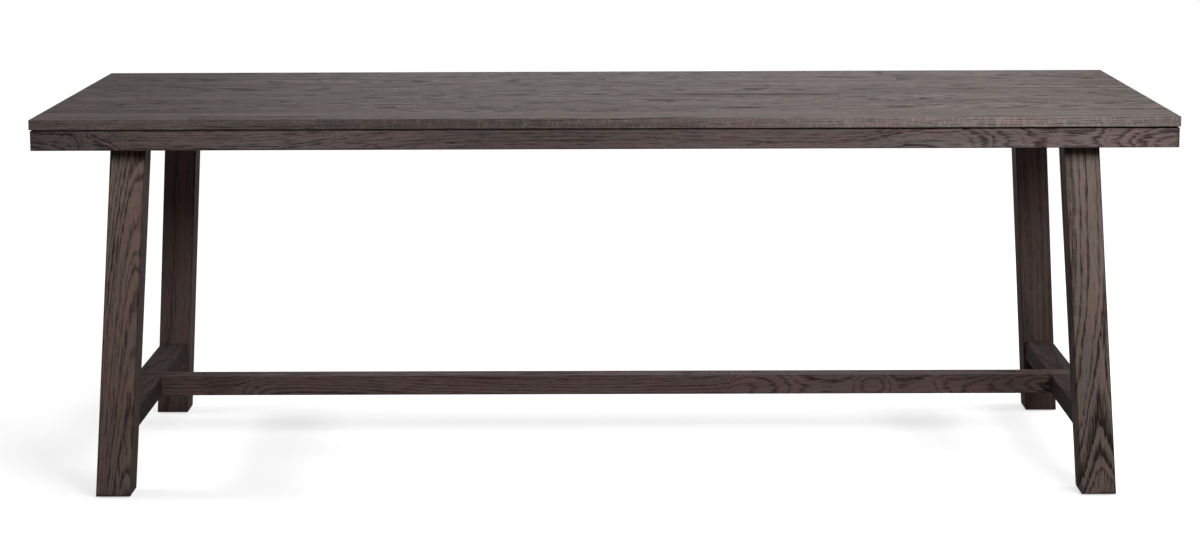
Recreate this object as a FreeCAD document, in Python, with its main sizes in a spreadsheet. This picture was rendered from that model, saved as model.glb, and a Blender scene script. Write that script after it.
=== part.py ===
import FreeCAD, Part
import os
import Sketcher

# Trestle dining table in stained oak. An edge-glued top lies on an apron frame and on two trestles.
# Each trestle has two legs that lean outwards both ways, a rail under the top and a low cross bar.
# One long stretcher is lapped into the two cross bars.
# Millimetres: origin on the floor under the middle of the top, X along the table, Z up.

SIZES = [
    # table top
    ("top_length", 2200, "whole length of the top"),
    ("top_width", 950, "whole width of the top"),
    ("table_height", 750, "floor to the top's upper face"),
    ("top_thickness", 20, "thickness of the staves"),
    ("stave_count", 8, "staves glued edge to edge across the top"),
    ("top_arris", 2, "rounding of the top's outer edges"),
    # apron frame
    ("apron_inset", 2, "top's edge to the apron's outer face"),
    ("apron_thickness", 22, "thickness of the apron boards"),
    ("apron_height", 40, "top's underside to the apron's lower edge"),
    ("shadow_gap", 2.5, "height of the shadow line under the top"),
    ("shadow_depth", 6, "depth of the shadow line"),
    ("apron_arris", 1.5, "rounding of the apron's outer edges"),
    # legs
    ("leg_width", 68, "level section of a leg along the table"),
    ("leg_depth", 77, "level section of a leg across the table"),
    ("leg_lean_length", 3.6, "degrees a leg leans along the table"),
    ("leg_lean_width", 3.2, "degrees a leg leans across the table"),
    ("foot_inset_length", 100, "top's end to the foot's outer face"),
    ("foot_inset_width", 36, "top's side to the foot's outer face"),
    ("leg_arris", 2, "rounding of a leg's edges"),
    # rails, cross bars and stretcher
    ("rail_width", 58, "width of the rail under the top"),
    ("rail_height", 40, "height of the rail under the top"),
    ("cross_bar_width", 58, "width of the low cross bar"),
    ("stretcher_width", 55, "width of the stretcher"),
    ("low_bar_height", 40, "height of cross bar and stretcher, which lie flush"),
    ("low_bar_lift", 121, "floor to the underside of cross bar and stretcher"),
    ("bar_arris", 2, "rounding of the bars' long edges"),
    # tenons
    ("tenon_thickness", 20, "tenon along the table"),
    ("tenon_height", 28, "tenon upright"),
    ("tenon_length", 45, "tenon beyond its shoulder"),
    ("tenon_end_gap", 2, "tenon's end to the bottom of its mortise"),
    ("joint_clearance", 0.2, "room on each side of a wooden joint"),
    # battens
    ("batten_width", 60, "width of a batten"),
    ("batten_height", 25, "height of a batten"),
    ("batten_spacing", 460, "distance between battens"),
    ("batten_end_gap", 5, "batten's end to the apron"),
    ("batten_bevel", 12, "bevel on a batten's lower ends"),
    ("batten_arris", 1.5, "rounding of a batten's lower edges"),
    ("batten_screw_recess", 8, "depth of the hole that sinks a screw's head"),
    # corner blocks
    ("block_reach", 75, "corner block along each apron"),
    ("block_flat", 15, "square end of a corner block"),
    ("block_height", 36, "height of a corner block"),
    ("block_screw_reach", 57, "corner to the screw along each apron"),
    # dowels
    ("dowel_diameter", 8, "diameter of a dowel"),
    ("dowel_length", 36, "length of a dowel"),
    ("dowel_apron_depth", 14, "dowel inside the long apron"),
    ("dowel_spacing", 16, "distance between a corner's two dowels"),
    ("dowel_bevel", 1, "bevel on a dowel's ends"),
    # angle brackets
    ("bracket_reach", 24, "length of each flange of a bracket"),
    ("bracket_width", 20, "width of a bracket"),
    ("bracket_thickness", 2, "thickness of a bracket"),
    ("bracket_hole", 14, "bracket's corner to its screw"),
    ("bracket_near", 230, "middle of the table to the nearer brackets"),
    ("bracket_far", 690, "middle of the table to the farther brackets"),
    ("bracket_bend", 2.5, "outer radius of a bracket's bend"),
    # wood screws
    ("screw_diameter", 4, "shank of a wood screw"),
    ("screw_head_diameter", 8, "head of a wood screw"),
    ("screw_head_height", 2.8, "height of a wood screw's head"),
    ("screw_head_round", 1.2, "rounding of a wood screw's head"),
    ("screw_point", 4, "length of a wood screw's point"),
    ("screw_slot_length", 4.4, "span of the cross recess"),
    ("screw_slot_width", 1, "width of the cross recess"),
    ("screw_slot_depth", 1.5, "depth of the cross recess"),
    ("bracket_screw_length", 14, "bracket screw under its head"),
    ("batten_screw_length", 30, "batten screw under its head"),
    ("block_screw_length", 30, "corner block screw under its head"),
    # bolts, washers and threaded inserts
    ("bolt_diameter", 8, "shank of a bolt"),
    ("bolt_head_diameter", 13, "head of a bolt"),
    ("bolt_head_height", 8, "height of a bolt's head"),
    ("bolt_socket", 6, "hexagon socket across its flats"),
    ("bolt_socket_depth", 4, "depth of the hexagon socket"),
    ("rail_bolt_length", 40, "rail bolt under its head"),
    ("stretcher_bolt_length", 20, "stretcher bolt under its head"),
    ("rail_recess", 12, "depth of the hole that sinks a rail bolt's head"),
    ("lap_recess", 11, "depth of the hole that sinks a stretcher bolt's head"),
    ("washer_diameter", 22, "diameter of a washer"),
    ("washer_thickness", 2, "thickness of a washer"),
    ("insert_diameter", 12, "diameter of a threaded insert"),
    ("insert_length", 13, "length of a threaded insert"),
    # drilling
    ("drill_clearance", 0.1, "room around a screw, dowel, insert or pin"),
    ("drill_end_gap", 1, "room beyond the end of a screw, dowel or pin"),
    ("passing_clearance", 0.75, "room around a screw or bolt that passes through"),
    ("recess_clearance", 0.5, "room around a sunk head or washer"),
    # glides
    ("glide_diameter", 36, "diameter of a glide"),
    ("glide_height", 3, "floor to the foot"),
    ("glide_bevel", 1, "bevel on a glide's lower edge"),
    ("glide_pin_diameter", 5, "pin of a glide"),
    ("glide_pin_length", 18, "pin of a glide inside the leg"),
]

doc = FreeCAD.newDocument("trestle_table")
sheet = doc.addObject("Spreadsheet::Sheet", "size")
for row, (name, number, meaning) in enumerate(SIZES, start=1):
    sheet.set(f"A{row}", name)
    sheet.set(f"B{row}", str(number))
    sheet.set(f"C{row}", meaning)
    sheet.setAlias(f"B{row}", name)
doc.recompute()

# Places and lengths that several pieces share
STAVE = "(size.top_width / size.stave_count)"
UNDERSIDE = "(size.table_height - size.top_thickness)"
APRON_END = "(size.top_length / 2 - size.apron_inset)"
APRON_SIDE = "(size.top_width / 2 - size.apron_inset)"
INNER_END = f"({APRON_END} - size.apron_thickness)"
INNER_SIDE = f"({APRON_SIDE} - size.apron_thickness)"
FOOT_X = "(size.top_length / 2 - size.foot_inset_length - size.leg_width / 2)"
FOOT_Y = "(size.top_width / 2 - size.foot_inset_width - size.leg_depth / 2)"
BAR_MIDDLE = "(size.low_bar_lift + size.low_bar_height / 2)"
RAIL_MIDDLE = f"({UNDERSIDE} - size.rail_height / 2)"
RAIL_SEAT = f"({UNDERSIDE} - size.rail_height + size.rail_recess)"
LAP_SEAT = "(size.low_bar_lift + size.lap_recess)"
BATTEN_SEAT = f"({UNDERSIDE} - size.batten_height + size.batten_screw_recess)"
SCREW_PILOT = "(size.screw_diameter + 2 * size.drill_clearance)"
SCREW_PASSAGE = "(size.screw_diameter + 2 * size.passing_clearance)"
SCREW_RECESS = "(size.screw_head_diameter + 2 * size.recess_clearance)"
BOLT_PASSAGE = "(size.bolt_diameter + 2 * size.passing_clearance)"
WASHER_RECESS = "(size.washer_diameter + 2 * size.recess_clearance)"
INSERT_HOLE = "(size.insert_diameter + 2 * size.drill_clearance)"
DOWEL_HOLE = "(size.dowel_diameter + 2 * size.drill_clearance)"
BLOCK_SCREW_HEIGHT = "(size.block_height / 2)"
BRACKET_PILOT_DEPTH = "size.bracket_screw_length - size.bracket_thickness + size.drill_end_gap"
SAME = 0.001
HEXAGON = 6

# Each side of the table, by the sign of its direction
LEFT, RIGHT = -1, 1
FRONT, BACK = -1, 1

# Turns that point a screw, bolt or dowel, whose shank rises along Z, another way
UPWARDS = FreeCAD.Rotation()
TO_SIDE = {FRONT: FreeCAD.Rotation(FreeCAD.Vector(1, 0, 0), 90),
           BACK: FreeCAD.Rotation(FreeCAD.Vector(1, 0, 0), -90)}
TO_END = {LEFT: FreeCAD.Rotation(FreeCAD.Vector(0, 1, 0), -90),
          RIGHT: FreeCAD.Rotation(FreeCAD.Vector(0, 1, 0), 90)}


def worth(text):
    """Number that an expression comes to at the sizes in the sheet."""
    return FreeCAD.Units.Quantity(sheet.evalExpression(text)).Value


def leg_x(height):
    """Middle of a right leg along the table, at a height above the floor."""
    return f"({FOOT_X} - tan(size.leg_lean_length) * ({height} - size.glide_height))"


def leg_inner_y(height):
    """Inner face of a back leg across the table, at a height above the floor."""
    return f"({FOOT_Y} - size.leg_depth / 2 - tan(size.leg_lean_width) * ({height} - size.glide_height))"


BAR_X = leg_x(BAR_MIDDLE)
RAIL_X = leg_x(RAIL_MIDDLE)

# Staves by their steps from the table's middle. The rails are bolted to those within a few steps.
RAIL_STEPS = 2
stave_count = round(worth("size.stave_count"))
stave_steps = [index - (stave_count - 1) / 2 for index in range(stave_count)]
middle_steps = [step for step in stave_steps if abs(step) < RAIL_STEPS]
bracket_steps = [middle_steps[0], middle_steps[-1]]
bracket_places = ["-size.bracket_far", "-size.bracket_near", "size.bracket_near", "size.bracket_far"]


def stave_y(step):
    """Middle of a stave across the table."""
    return f"({step} * {STAVE})"


def put(item, x, y, z):
    """Tie the place of a piece to expressions."""
    for axis, text in zip("xyz", (x, y, z)):
        item.setExpression(f"Placement.Base.{axis}", text)


def add_body(label, x="0", y="0", z="0"):
    """New empty body at a place."""
    body = doc.addObject("PartDesign::Body", label)
    body.Label = label
    put(body, x, y, z)
    return body


def add_sketch(body, name, role, offset):
    """New sketch on one of the body's own planes, offset along that plane's normal."""
    sketch = body.newObject("Sketcher::SketchObject", f"{body.Name}_{name}")
    plane = next(item for item in body.Origin.OriginFeatures if item.Role == role)
    sketch.AttachmentSupport = [(plane, "")]
    sketch.MapMode = "FlatFace"
    sketch.setExpression("AttachmentOffset.Base.z", offset)
    return sketch


def hold(sketch, constraint, text):
    """Add a constraint whose size is tied to an expression."""
    index = sketch.addConstraint(Sketcher.Constraint(*constraint, worth(text)))
    sketch.setExpression(f"Constraints[{index}]", text)


def hold_point(sketch, line, end, point):
    """Tie one point of a sketch to a pair of expressions."""
    hold(sketch, ("DistanceX", -1, 1, line, end), point[0])
    hold(sketch, ("DistanceY", -1, 1, line, end), point[1])


def outline(body, name, role, corners, offset="0"):
    """Sketch of a closed outline with straight sides through the corners."""
    sketch = add_sketch(body, name, role, offset)
    points = [FreeCAD.Vector(worth(across), worth(along), 0) for across, along in corners]
    for index, point in enumerate(points):
        sketch.addGeometry(Part.LineSegment(points[index - 1], point), False)
    for index, corner in enumerate(corners):
        following = (index + 1) % len(corners)
        sketch.addConstraint(Sketcher.Constraint("Coincident", index, 2, following, 1))
        hold_point(sketch, index, 2, corner)
    return sketch


def rectangle(half_across, half_along, across="0", along="0"):
    """Corners of a rectangle from its half sizes and its middle."""
    return [(f"{across} - {half_across}", f"{along} - {half_along}"),
            (f"{across} + {half_across}", f"{along} - {half_along}"),
            (f"{across} + {half_across}", f"{along} + {half_along}"),
            (f"{across} - {half_across}", f"{along} + {half_along}")]


def circles(body, name, role, middles, diameter, offset="0"):
    """Sketch of equal circles."""
    sketch = add_sketch(body, name, role, offset)
    for index, middle in enumerate(middles):
        centre = FreeCAD.Vector(worth(middle[0]), worth(middle[1]), 0)
        normal = FreeCAD.Vector(0, 0, 1)
        sketch.addGeometry(Part.Circle(centre, normal, worth(diameter) / 2), False)
        hold_point(sketch, index, 3, middle)
        hold(sketch, ("Diameter", index), diameter)
    return sketch


def pad(body, sketch, length, both_ways=False):
    """Solid from a sketch, along its normal or to both sides of it."""
    feature = body.newObject("PartDesign::Pad", f"{sketch.Name}_pad")
    feature.Profile = sketch
    feature.SideType = "Symmetric" if both_ways else "One side"
    feature.setExpression("Length", length)
    doc.recompute()
    return feature


def cut(body, sketch, depth, forward=True, both_ways=False):
    """Hole from a sketch, along its normal, against it or to both sides of it."""
    whole = body.Shape.Volume
    feature = body.newObject("PartDesign::Pocket", f"{sketch.Name}_cut")
    feature.Profile = sketch
    feature.Reversed = forward
    feature.SideType = "Symmetric" if both_ways else "One side"
    feature.setExpression("Length", depth)
    doc.recompute()
    if body.Shape.Volume > whole - SAME:
        raise ValueError(f"{feature.Name} cuts nothing")


def turned(body, corners):
    """Solid turned about Z from corners given as radius and height."""
    sketch = outline(body, "profile", "XZ_Plane", corners)
    feature = body.newObject("PartDesign::Revolution", f"{body.Name}_turned")
    feature.Profile = sketch
    feature.ReferenceAxis = (sketch, ["V_Axis"])
    doc.recompute()


def round_edges(body, radius, keep):
    """Round the straight edges whose two ends pass a test."""
    solid = body.Tip
    names = []
    for index, edge in enumerate(solid.Shape.Edges, start=1):
        ends = [vertex.Point for vertex in edge.Vertexes]
        if len(ends) == 2 and keep(*ends):
            names.append(f"Edge{index}")
    feature = body.newObject("PartDesign::Fillet", f"{body.Name}_arris")
    feature.Base = (solid, names)
    feature.setExpression("Radius", radius)
    doc.recompute()


def near(number, text):
    """Whether a coordinate lies where an expression says."""
    return abs(number - worth(text)) < SAME


pieces = []


def keep_piece(piece):
    """List a finished piece, which gets a file of its own."""
    pieces.append(piece)


def group(label, pattern, places):
    """Equal small pieces, each at its own place, kept together under one name."""
    copies = []
    for index, (x, y, z, turn) in enumerate(places, start=1):
        copy = doc.addObject("App::Link", f"{label}_{index}")
        copy.LinkedObject = pattern
        copy.Placement = FreeCAD.Placement(FreeCAD.Vector(), turn)
        put(copy, x, y, z)
        copies.append(copy)
    gathered = doc.addObject("Part::Compound", label)
    gathered.Label = label
    gathered.Links = copies
    keep_piece(gathered)


def top_stave(number, step):
    """Full-length oak stave of the top, drilled from below for screws and threaded inserts."""
    body = add_body(f"top_stave_{number}", "0", stave_y(step), UNDERSIDE)
    half_length = "size.top_length / 2"
    half_width = f"{STAVE} / 2"
    pad(body, outline(body, "board", "XY_Plane", rectangle(half_length, half_width)), "size.top_thickness")
    outer_side = {stave_steps[0]: FRONT, stave_steps[-1]: BACK}.get(step)

    def is_outer(start, end):
        at_end = near(abs(start.x), half_length) and abs(start.x - end.x) < SAME
        along_end = at_end and abs(start.z - end.z) < SAME
        if outer_side is None:
            return along_end
        outer_face = f"{outer_side} * {half_width}"
        return along_end or (near(start.y, outer_face) and near(end.y, outer_face))

    round_edges(body, "size.top_arris", is_outer)
    screws = [(f"{place} * size.batten_spacing", "0") for place in (-1, 0, 1)]
    depth = f"{BATTEN_SEAT} + size.batten_screw_length - {UNDERSIDE} + size.drill_end_gap"
    cut(body, circles(body, "batten_screws", "XY_Plane", screws, SCREW_PILOT), depth)
    if step in middle_steps:
        inserts = [(f"{side} * {RAIL_X}", "0") for side in (LEFT, RIGHT)]
        cut(body, circles(body, "insert_holes", "XY_Plane", inserts, INSERT_HOLE), "size.insert_length")
    if step in bracket_steps:
        screws = [(f"{side} * ({INNER_END} - size.bracket_hole)", "0") for side in (LEFT, RIGHT)]
        cut(body, circles(body, "end_screws", "XY_Plane", screws, SCREW_PILOT), BRACKET_PILOT_DEPTH)
    if outer_side is not None:
        screw_y = f"{outer_side} * ({INNER_SIDE} - size.bracket_hole) - {stave_y(step)}"
        screws = [(place, screw_y) for place in bracket_places]
        cut(body, circles(body, "side_screws", "XY_Plane", screws, SCREW_PILOT), BRACKET_PILOT_DEPTH)
    keep_piece(body)


def dowel_heights():
    """Heights of a corner's two dowels below the top."""
    return [f"-size.apron_height / 2 + {way} * size.dowel_spacing / 2" for way in (-1, 1)]


def long_apron(label, side):
    """Apron board along the table. A tongue on its upper edge carries the top and leaves the shadow line."""
    body = add_body(label, "0", f"{side} * ({APRON_SIDE} - size.apron_thickness / 2)", UNDERSIDE)
    board = outline(body, "board", "XY_Plane", rectangle(APRON_END, "size.apron_thickness / 2"),
                    "-size.apron_height")
    pad(body, board, "size.apron_height - size.shadow_gap")
    outer_face = f"{side} * size.apron_thickness / 2"

    def shows(start, end):
        on_face = near(start.y, outer_face) and near(end.y, outer_face)
        low = near(start.z, "-size.apron_height") and near(end.z, "-size.apron_height")
        return on_face or (low and abs(start.x - end.x) < SAME)

    round_edges(body, "size.apron_arris", shows)
    tongue_half = "(size.apron_thickness / 2 - size.shadow_depth / 2)"
    tongue = rectangle(f"({APRON_END} - size.shadow_depth)", tongue_half,
                       along=f"{-side} * size.shadow_depth / 2")
    pad(body, outline(body, "tongue", "XY_Plane", tongue, "-size.shadow_gap"), "size.shadow_gap")
    # The upright plane's normal points to the front, so holes are set out and cut along it
    inner_face = f"{side} * size.apron_thickness / 2"
    outwards = side == FRONT
    dowels = [(f"{end} * ({APRON_END} - size.apron_thickness / 2)", height)
              for end in (LEFT, RIGHT) for height in dowel_heights()]
    cut(body, circles(body, "dowels", "XZ_Plane", dowels, DOWEL_HOLE, inner_face),
        "size.dowel_apron_depth + size.drill_end_gap", outwards)
    screws = [(place, "-size.bracket_hole") for place in bracket_places]
    cut(body, circles(body, "bracket_screws", "XZ_Plane", screws, SCREW_PILOT, inner_face),
        BRACKET_PILOT_DEPTH, outwards)
    screws = [(f"{end} * ({INNER_END} - size.block_screw_reach)", f"-{BLOCK_SCREW_HEIGHT}")
              for end in (LEFT, RIGHT)]
    cut(body, circles(body, "block_screws", "XZ_Plane", screws, SCREW_PILOT, inner_face),
        "size.block_screw_length - size.block_flat + size.drill_end_gap", outwards)
    keep_piece(body)


def end_apron(label, end):
    """Apron board across the table's end, dowelled between the long aprons."""
    body = add_body(label, f"{end} * ({APRON_END} - size.apron_thickness / 2)", "0", UNDERSIDE)
    board = outline(body, "board", "XY_Plane", rectangle("size.apron_thickness / 2", INNER_SIDE),
                    "-size.apron_height")
    pad(body, board, "size.apron_height - size.shadow_gap")
    outer_face = f"{end} * size.apron_thickness / 2"

    def shows(start, stop):
        on_face = near(start.x, outer_face) and near(stop.x, outer_face)
        return on_face and abs(start.z - stop.z) < SAME

    round_edges(body, "size.apron_arris", shows)
    tongue_half = "(size.apron_thickness / 2 - size.shadow_depth / 2)"
    tongue = rectangle(tongue_half, INNER_SIDE, across=f"{-end} * size.shadow_depth / 2")
    pad(body, outline(body, "tongue", "XY_Plane", tongue, "-size.shadow_gap"), "size.shadow_gap")
    for side, name in ((FRONT, "front_dowels"), (BACK, "back_dowels")):
        dowels = [("0", height) for height in dowel_heights()]
        cut(body, circles(body, name, "XZ_Plane", dowels, DOWEL_HOLE, f"{-side} * {INNER_SIDE}"),
            "size.dowel_length - size.dowel_apron_depth + size.drill_end_gap", side == BACK)
    inner_face = f"{-end} * size.apron_thickness / 2"
    screws = [(stave_y(step), "-size.bracket_hole") for step in bracket_steps]
    cut(body, circles(body, "bracket_screws", "YZ_Plane", screws, SCREW_PILOT, inner_face),
        BRACKET_PILOT_DEPTH, end == RIGHT)
    screws = [(f"{side} * ({INNER_SIDE} - size.block_screw_reach)", f"-{BLOCK_SCREW_HEIGHT}")
              for side in (FRONT, BACK)]
    cut(body, circles(body, "block_screws", "YZ_Plane", screws, SCREW_PILOT, inner_face),
        "size.block_screw_length - size.block_flat + size.drill_end_gap", end == RIGHT)
    keep_piece(body)


def corner_block(label, end, side):
    """Block glued and screwed into a corner of the apron frame."""
    body = add_body(label, f"{end} * {INNER_END}", f"{side} * {INNER_SIDE}", UNDERSIDE)
    reach, flat = "size.block_reach", "size.block_flat"
    corners = [("0", "0"), (reach, "0"), (reach, flat), (flat, reach), ("0", reach)]
    inwards = [(f"{-end} * {across}", f"{-side} * {along}") for across, along in corners]
    pad(body, outline(body, "block", "XY_Plane", inwards, "-size.block_height"), "size.block_height")
    side_screw = [(f"{-end} * size.block_screw_reach", f"-{BLOCK_SCREW_HEIGHT}")]
    end_screw = [(f"{-side} * size.block_screw_reach", f"-{BLOCK_SCREW_HEIGHT}")]
    for name, diameter, seat in (("passage", SCREW_PASSAGE, "0"), ("recess", SCREW_RECESS, flat)):
        hole = circles(body, f"side_{name}", "XZ_Plane", side_screw, diameter, f"{side} * {seat}")
        cut(body, hole, reach, side == BACK)
        hole = circles(body, f"end_{name}", "YZ_Plane", end_screw, diameter, f"{-end} * {seat}")
        cut(body, hole, reach, end == LEFT)
    keep_piece(body)


def batten(label, place):
    """Batten across the underside, screwed to every stave, that keeps the top flat."""
    body = add_body(label, f"{place} * size.batten_spacing", "0", UNDERSIDE)
    half = f"({INNER_SIDE} - size.batten_end_gap)"
    low, bevel = "-size.batten_height", "size.batten_bevel"
    corners = [(f"-{half}", "0"), (half, "0"), (half, f"{low} + {bevel}"), (f"{half} - {bevel}", low),
               (f"{bevel} - {half}", low), (f"-{half}", f"{low} + {bevel}")]
    pad(body, outline(body, "side", "YZ_Plane", corners), "size.batten_width", both_ways=True)
    round_edges(body, "size.batten_arris",
                lambda start, end: near(start.z, low) and near(end.z, low) and abs(start.x - end.x) < SAME)
    screws = [("0", stave_y(step)) for step in stave_steps]
    cut(body, circles(body, "screws", "XY_Plane", screws, SCREW_PASSAGE, low), "size.batten_height")
    cut(body, circles(body, "recesses", "XY_Plane", screws, SCREW_RECESS, low), "size.batten_screw_recess")
    keep_piece(body)


def trestle_bar(label, end, middle, width, height):
    """Bar between the two legs of a trestle, with shoulders that follow the legs and a tenon at each end."""
    body = add_body(label, f"{end} * {leg_x(middle)}", "0", middle)
    upper = leg_inner_y(f"({middle} + {height} / 2)")
    lower = leg_inner_y(f"({middle} - {height} / 2)")
    corners = [(f"-{lower}", f"-{height} / 2"), (lower, f"-{height} / 2"),
               (upper, f"{height} / 2"), (f"-{upper}", f"{height} / 2")]
    pad(body, outline(body, "side", "YZ_Plane", corners), width, both_ways=True)
    round_edges(body, "size.bar_arris",
                lambda start, stop: abs(start.x - stop.x) < SAME and abs(start.z - stop.z) < SAME)
    tenons = rectangle(f"({leg_inner_y(middle)} + size.tenon_length)", "size.tenon_height / 2")
    pad(body, outline(body, "tenons", "YZ_Plane", tenons), "size.tenon_thickness", both_ways=True)
    keep_piece(body)
    return body


def top_rail(label, end):
    """Rail of a trestle under the top, bored for the bolts that hold the top."""
    body = trestle_bar(label, end, RAIL_MIDDLE, "size.rail_width", "size.rail_height")
    bolts = [("0", stave_y(step)) for step in middle_steps]
    low = "-size.rail_height / 2"
    cut(body, circles(body, "bolts", "XY_Plane", bolts, BOLT_PASSAGE, low), "size.rail_height")
    cut(body, circles(body, "recesses", "XY_Plane", bolts, WASHER_RECESS, low), "size.rail_recess")


def cross_bar(label, end):
    """Low bar of a trestle. Its upper half is cut away where the stretcher lies in it."""
    body = trestle_bar(label, end, BAR_MIDDLE, "size.cross_bar_width", "size.low_bar_height")
    lap = rectangle("(size.stretcher_width / 2 + size.joint_clearance)", "size.low_bar_height / 2",
                    along="size.low_bar_height / 2")
    cut(body, outline(body, "lap", "YZ_Plane", lap), "size.cross_bar_width", both_ways=True)
    low = "-size.low_bar_height / 2"
    bolt = [("0", "0")]
    cut(body, circles(body, "bolt", "XY_Plane", bolt, BOLT_PASSAGE, low), "size.low_bar_height")
    cut(body, circles(body, "recess", "XY_Plane", bolt, WASHER_RECESS, low), "size.lap_recess")


def leg(label, end, side):
    """Leg that leans outwards both ways, with level ends, mortised for the bars and drilled for its glide."""
    body = add_body(label, f"{end} * {FOOT_X}", f"{side} * {FOOT_Y}", "size.glide_height")
    foot = outline(body, "foot", "XY_Plane", rectangle("size.leg_width / 2", "size.leg_depth / 2"))
    post = pad(body, foot, f"{UNDERSIDE} - size.glide_height")
    post.UseCustomVector = True
    post.AlongSketchNormal = True
    post.Direction = FreeCAD.Vector(0, 0, 1)
    post.setExpression("Direction.x", f"{-end} * tan(size.leg_lean_length)")
    post.setExpression("Direction.y", f"{-side} * tan(size.leg_lean_width)")
    doc.recompute()
    round_edges(body, "size.leg_arris", lambda start, stop: min(start.z, stop.z) < SAME)
    mortise_width = "(size.tenon_thickness / 2 + size.joint_clearance)"
    mortise_height = "(size.tenon_height / 2 + size.joint_clearance)"
    for name, middle in (("bar_mortise", BAR_MIDDLE), ("rail_mortise", RAIL_MIDDLE)):
        across = f"{end} * ({leg_x(middle)} - {FOOT_X})"
        opening = rectangle(mortise_width, mortise_height, across, f"({middle} - size.glide_height)")
        bottom = f"({leg_inner_y(middle)} + size.tenon_length + size.tenon_end_gap - {FOOT_Y})"
        mortise = outline(body, name, "XZ_Plane", opening, f"{-side} * {bottom}")
        cut(body, mortise, "size.leg_depth", side == BACK)
    pin_hole = "size.glide_pin_diameter + 2 * size.drill_clearance"
    cut(body, circles(body, "pin", "XY_Plane", [("0", "0")], pin_hole),
        "size.glide_pin_length + size.drill_end_gap")
    keep_piece(body)


def stretcher():
    """Long bar between the trestles. The lower half of each end is cut away to lap over a cross bar."""
    body = add_body("stretcher", "0", "0", BAR_MIDDLE)
    tip = f"({BAR_X} + size.cross_bar_width / 2)"
    shoulder = f"({BAR_X} - size.cross_bar_width / 2 - size.joint_clearance)"
    high, low = "size.low_bar_height / 2", "-size.low_bar_height / 2"
    corners = [(f"-{tip}", "0"), (f"-{shoulder}", "0"), (f"-{shoulder}", low), (shoulder, low),
               (shoulder, "0"), (tip, "0"), (tip, high), (f"-{tip}", high)]
    pad(body, outline(body, "side", "XZ_Plane", corners), "size.stretcher_width", both_ways=True)

    def long_edge(start, stop):
        level = abs(start.z - stop.z) < SAME and abs(start.z) > SAME
        end_edge = near(abs(start.x), tip) and near(abs(stop.x), tip) and start.z > SAME
        return level and (abs(start.y - stop.y) < SAME or end_edge)

    round_edges(body, "size.bar_arris", long_edge)
    inserts = [(f"{end} * {BAR_X}", "0") for end in (LEFT, RIGHT)]
    cut(body, circles(body, "insert_holes", "XY_Plane", inserts, INSERT_HOLE), "size.insert_length")
    keep_piece(body)


def screw(label, length):
    """Pan-head wood screw with a cross recess. Its head lies under the origin and its shank rises."""
    body = add_body(label)
    shank, head = "size.screw_diameter / 2", "size.screw_head_diameter / 2"
    low = "-size.screw_head_height"
    turned(body, [("0", low), (head, low), (head, "0"), (shank, "0"),
                  (shank, f"{length} - size.screw_point"), ("0", length)])
    rim = body.Tip
    names = [f"Edge{index}" for index, edge in enumerate(rim.Shape.Edges, start=1)
             if near(edge.BoundBox.ZMax, low) and edge.BoundBox.XLength > SAME]
    rounded = body.newObject("PartDesign::Fillet", f"{label}_rim")
    rounded.Base = (rim, names)
    rounded.setExpression("Radius", "size.screw_head_round")
    doc.recompute()
    arm, side = "size.screw_slot_length / 2", "size.screw_slot_width / 2"
    for name, shape in (("slot", rectangle(arm, side)), ("cross_slot", rectangle(side, arm))):
        cut(body, outline(body, name, "XY_Plane", shape, low), "size.screw_slot_depth")
    return body


def bolt(label, length):
    """Cap-head bolt with a hexagon socket. Its head lies under the origin and its shank rises."""
    body = add_body(label)
    shank, head = "size.bolt_diameter / 2", "size.bolt_head_diameter / 2"
    low = "-size.bolt_head_height"
    turned(body, [("0", low), (head, low), (head, "0"), (shank, "0"), (shank, length), ("0", length)])
    corner = "size.bolt_socket / sqrt(3)"
    turns = [360 / HEXAGON * index for index in range(HEXAGON)]
    hexagon = [(f"{corner} * cos({turn})", f"{corner} * sin({turn})") for turn in turns]
    cut(body, outline(body, "socket", "XY_Plane", hexagon, low), "size.bolt_socket_depth")
    return body


def ring(label, outer, inner, height):
    """Plain ring that stands on the origin, such as a washer or a threaded insert."""
    body = add_body(label)
    pad(body, circles(body, "disc", "XY_Plane", [("0", "0")], outer), height)
    cut(body, circles(body, "bore", "XY_Plane", [("0", "0")], inner), height)
    return body


def dowel_pattern():
    """Beech dowel with bevelled ends, rising from the origin."""
    body = add_body("one_dowel")
    radius, bevel, length = "size.dowel_diameter / 2", "size.dowel_bevel", "size.dowel_length"
    turned(body, [("0", "0"), (f"{radius} - {bevel}", "0"), (radius, bevel), (radius, f"{length} - {bevel}"),
                  (f"{radius} - {bevel}", length), ("0", length)])
    return body


def bracket_pattern():
    """Steel angle bracket in the corner between an apron's inner face and the top's underside."""
    body = add_body("one_bracket")
    reach, wall = "size.bracket_reach", "size.bracket_thickness"
    corners = [("0", "0"), (reach, "0"), (reach, f"-{wall}"), (wall, f"-{wall}"), (wall, f"-{reach}"),
               ("0", f"-{reach}")]
    pad(body, outline(body, "angle", "YZ_Plane", corners), "size.bracket_width", both_ways=True)

    def is_bend(start, stop):
        along = abs(start.x - stop.x) > SAME
        return along and abs(start.y) < SAME and abs(start.z) < SAME

    round_edges(body, "size.bracket_bend", is_bend)
    top_hole, apron_hole = [("0", "size.bracket_hole")], [("0", "-size.bracket_hole")]
    cut(body, circles(body, "top_hole", "XY_Plane", top_hole, SCREW_PASSAGE), wall, forward=False)
    cut(body, circles(body, "apron_hole", "XZ_Plane", apron_hole, SCREW_PASSAGE), wall, forward=False)
    return body


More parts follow.
